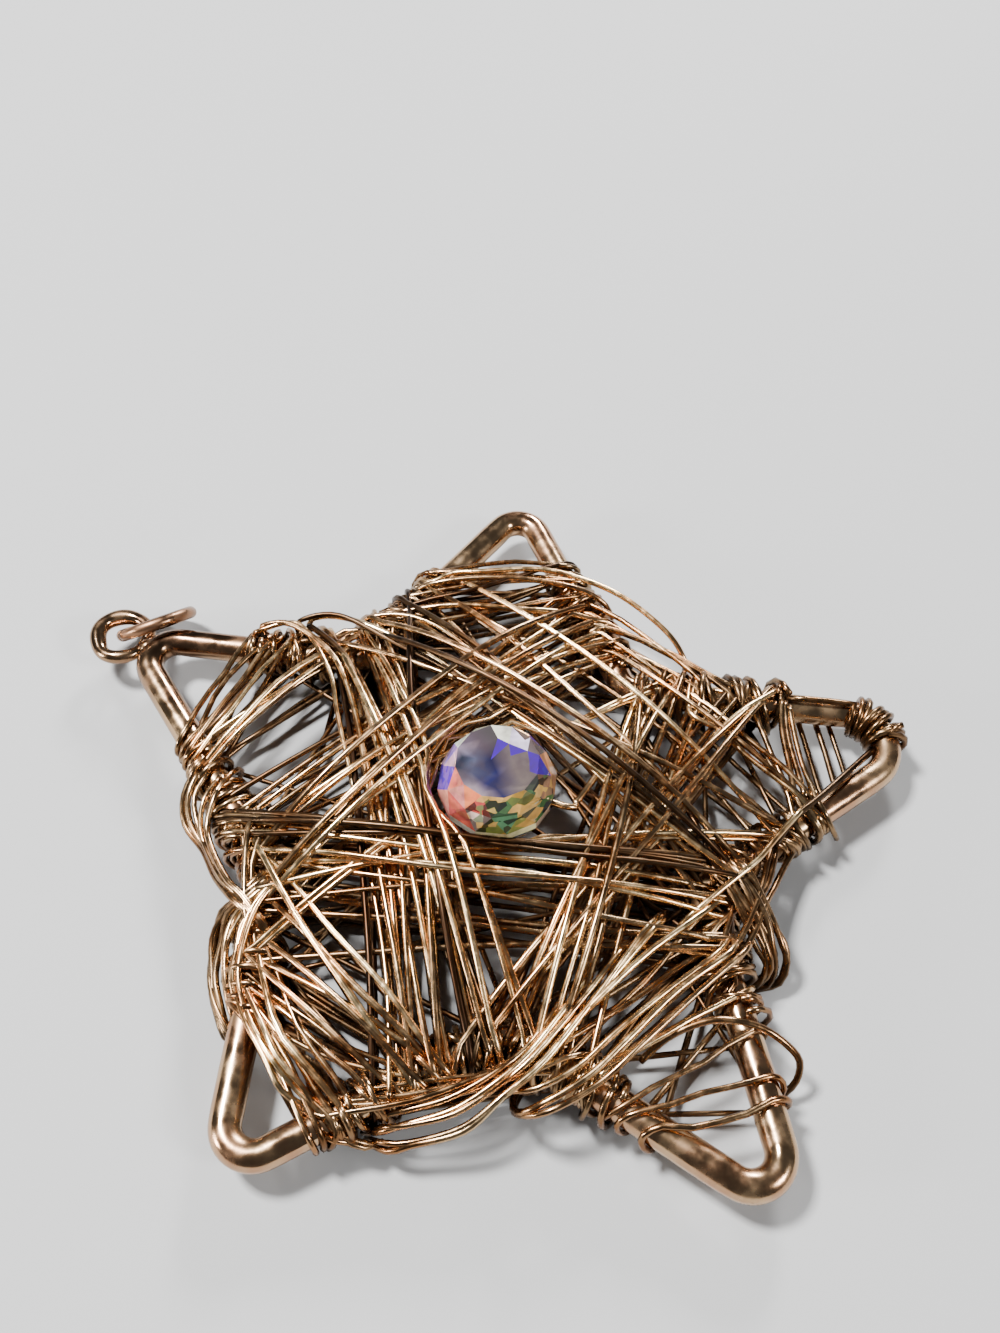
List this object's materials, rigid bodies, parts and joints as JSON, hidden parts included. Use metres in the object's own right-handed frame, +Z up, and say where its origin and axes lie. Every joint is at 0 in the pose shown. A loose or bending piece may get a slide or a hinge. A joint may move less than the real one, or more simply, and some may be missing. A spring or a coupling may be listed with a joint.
{
  "type": "star pendant",
  "caption": "Hand-wound star pendant: a bent thick-wire star netted with loose fine wire round a faceted crystal bead, with a ring soldered to its tip and a loose jump ring.",
  "frame": {"origin": "middle of the pendant's box on the surface that it lies on", "axes": "+Z up out of the star's front, +Y towards the far tip, +X towards the right tip"},
  "size_m": [0.0482, 0.0422, 0.0076],
  "materials": {
    "frame_metal": "polished rose-gold plate, a little worn",
    "ring_metal": "polished rose-gold plate",
    "wrap_metal": "bright fine craft wire",
    "crystal_glass": "cut crystal with a rainbow coat",
    "thread_metal": "bright fine craft wire"
  },
  "bodies": {
    "root": {"star_frame": "frame_metal", "jump_ring": "ring_metal", "wire_wrap": "wrap_metal", "crystal": "crystal_glass", "bead_wire": "thread_metal"}
  },
  "joints": []
}
